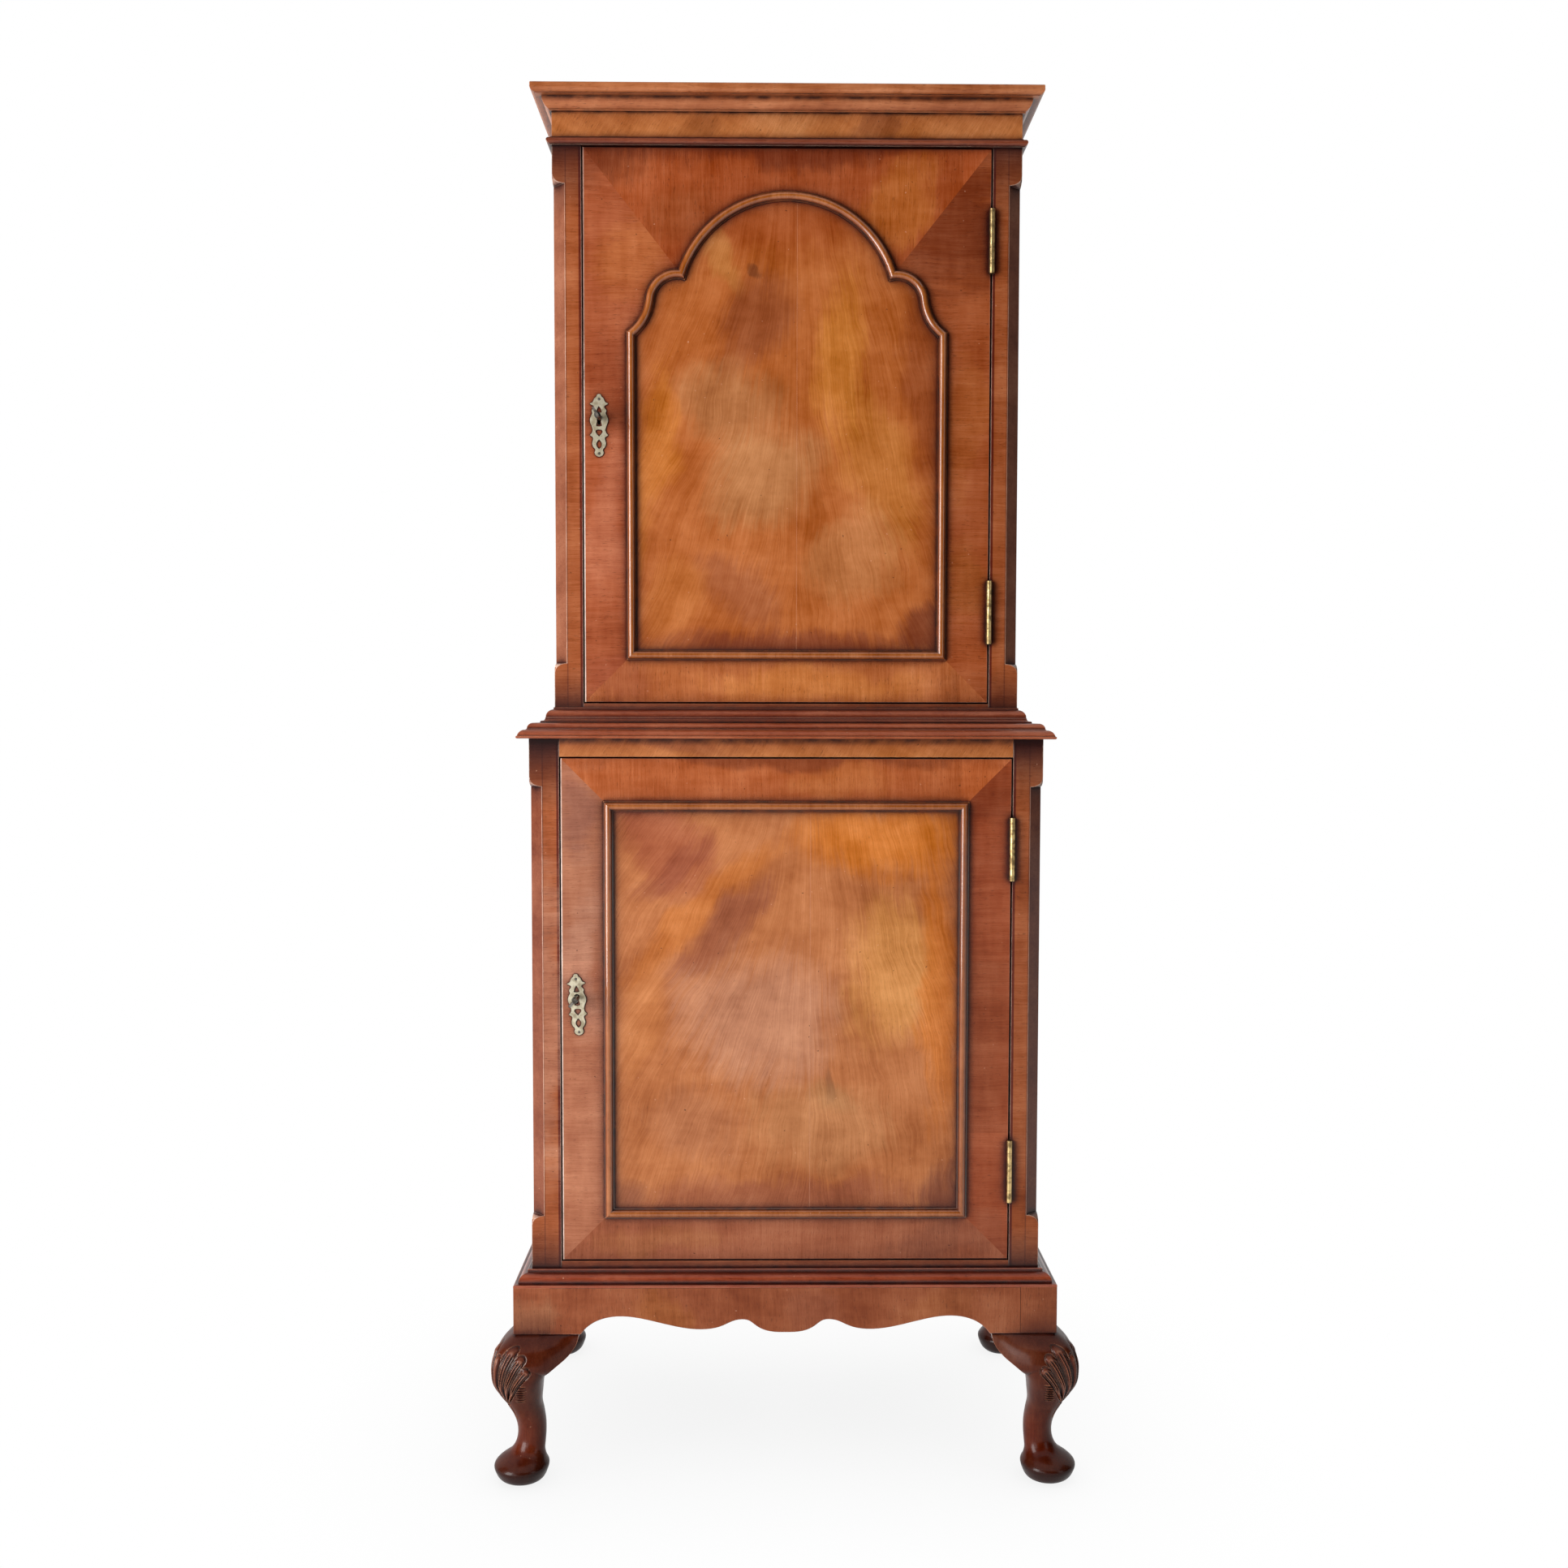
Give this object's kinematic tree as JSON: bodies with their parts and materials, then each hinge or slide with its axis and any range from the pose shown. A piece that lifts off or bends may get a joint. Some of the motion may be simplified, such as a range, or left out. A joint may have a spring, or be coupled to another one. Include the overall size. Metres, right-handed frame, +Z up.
{
  "type": "two-tier cupboard on stand",
  "caption": "Tall narrow walnut cupboard in two tiers on a low stand with carved cabriole legs; each tier has a hinged, lockable veneered door over shelves.",
  "frame": {"origin": "on the floor under the middle of the stand", "axes": "+Z up, +X to the right of someone facing the doors, -Y out of the front"},
  "size_m": [0.7072, 0.4354, 1.668],
  "materials": {
    "walnut": "waxed, satin",
    "stand_walnut": "polished, dark",
    "figured_walnut": "polished veneer",
    "crossbanded_walnut": "polished veneer",
    "secondary_wood": "dry, unpolished",
    "brass": "aged",
    "steel": "aged"
  },
  "bodies": {
    "case": {"cornice_board": "secondary_wood", "cornice_moulding": "walnut", "frieze": "walnut", "frieze_bead": "walnut", "front_apron": "stand_walnut", "hinge_case_leaves": "brass", "hinge_case_screws": "steel", "hinge_pins": "brass", "knee_brackets": "stand_walnut", "leg_front_left": "stand_walnut", "leg_front_right": "stand_walnut", "leg_rear_left": "stand_walnut", "leg_rear_right": "stand_walnut", "lower_back": "secondary_wood", "lower_bottom": "secondary_wood", "lower_bottom_rail": "walnut", "lower_frieze_rail": "walnut", "lower_post_left": "walnut", "lower_post_right": "walnut", "lower_side_left": "walnut", "lower_side_right": "walnut", "rear_rail": "secondary_wood", "shelf_bearers": "secondary_wood", "shelves": "secondary_wood", "side_aprons": "stand_walnut", "stand_bearers": "secondary_wood", "stand_moulding": "walnut", "strike_plates": "steel", "upper_back": "secondary_wood", "upper_bottom": "secondary_wood", "upper_bottom_rail": "walnut", "upper_foot_moulding": "walnut", "upper_post_left": "walnut", "upper_post_right": "walnut", "upper_side_left": "walnut", "upper_side_right": "walnut", "upper_top": "walnut", "waist_board": "walnut", "waist_moulding": "walnut"},
    "upper_door": {"upper_door_core": "secondary_wood", "upper_door_banding": "crossbanded_walnut", "upper_door_field": "figured_walnut", "upper_door_moulding": "walnut", "upper_hinge_leaves": "brass", "upper_door_fixings": "steel", "upper_lock_case": "steel", "upper_escutcheon": "brass"},
    "lower_door": {"lower_door_core": "secondary_wood", "lower_door_banding": "crossbanded_walnut", "lower_door_field": "figured_walnut", "lower_door_moulding": "walnut", "lower_hinge_leaves": "brass", "lower_door_fixings": "steel", "lower_lock_case": "steel", "lower_escutcheon": "brass"},
    "upper_bolt": {"upper_lock_bolt": "steel"},
    "lower_bolt": {"lower_lock_bolt": "steel"},
    "upper_key": {"upper_key": "steel"},
    "lower_key": {"lower_key": "steel"}
  },
  "joints": [
    {"name": "upper_door_swing", "type": "hinge", "parent": "case", "child": "upper_door", "pos_m": [0.24475, -0.14805, 1.2415], "axis": [0, 0, 1], "range_deg": [0, 170]},
    {"name": "upper_key_turn", "type": "hinge", "parent": "upper_door", "child": "upper_key", "pos_m": [-0.2254, -0.1445, 1.282], "axis": [0, 1, 0], "range_deg": [0, 300]},
    {"name": "upper_bolt_slide", "type": "slide", "parent": "upper_door", "child": "upper_bolt", "axis": [-1, 0, 0], "range_m": [0, 0.00751]},
    {"name": "lower_door_swing", "type": "hinge", "parent": "case", "child": "lower_door", "pos_m": [0.27125, -0.17555, 0.5645], "axis": [0, 0, 1], "range_deg": [0, 170]},
    {"name": "lower_key_turn", "type": "hinge", "parent": "lower_door", "child": "lower_key", "pos_m": [-0.2519, -0.172, 0.5865], "axis": [0, 1, 0], "range_deg": [-73, 227]},
    {"name": "lower_bolt_slide", "type": "slide", "parent": "lower_door", "child": "lower_bolt", "axis": [-1, 0, 0], "range_m": [-0.00184, 0.00568]}
  ],
  "couplings": [
    {"joint": "upper_bolt_slide", "follows": "upper_key_turn", "m_per_rad": 0.0014324},
    {"joint": "lower_bolt_slide", "follows": "lower_key_turn", "m_per_rad": 0.0014324}
  ]
}
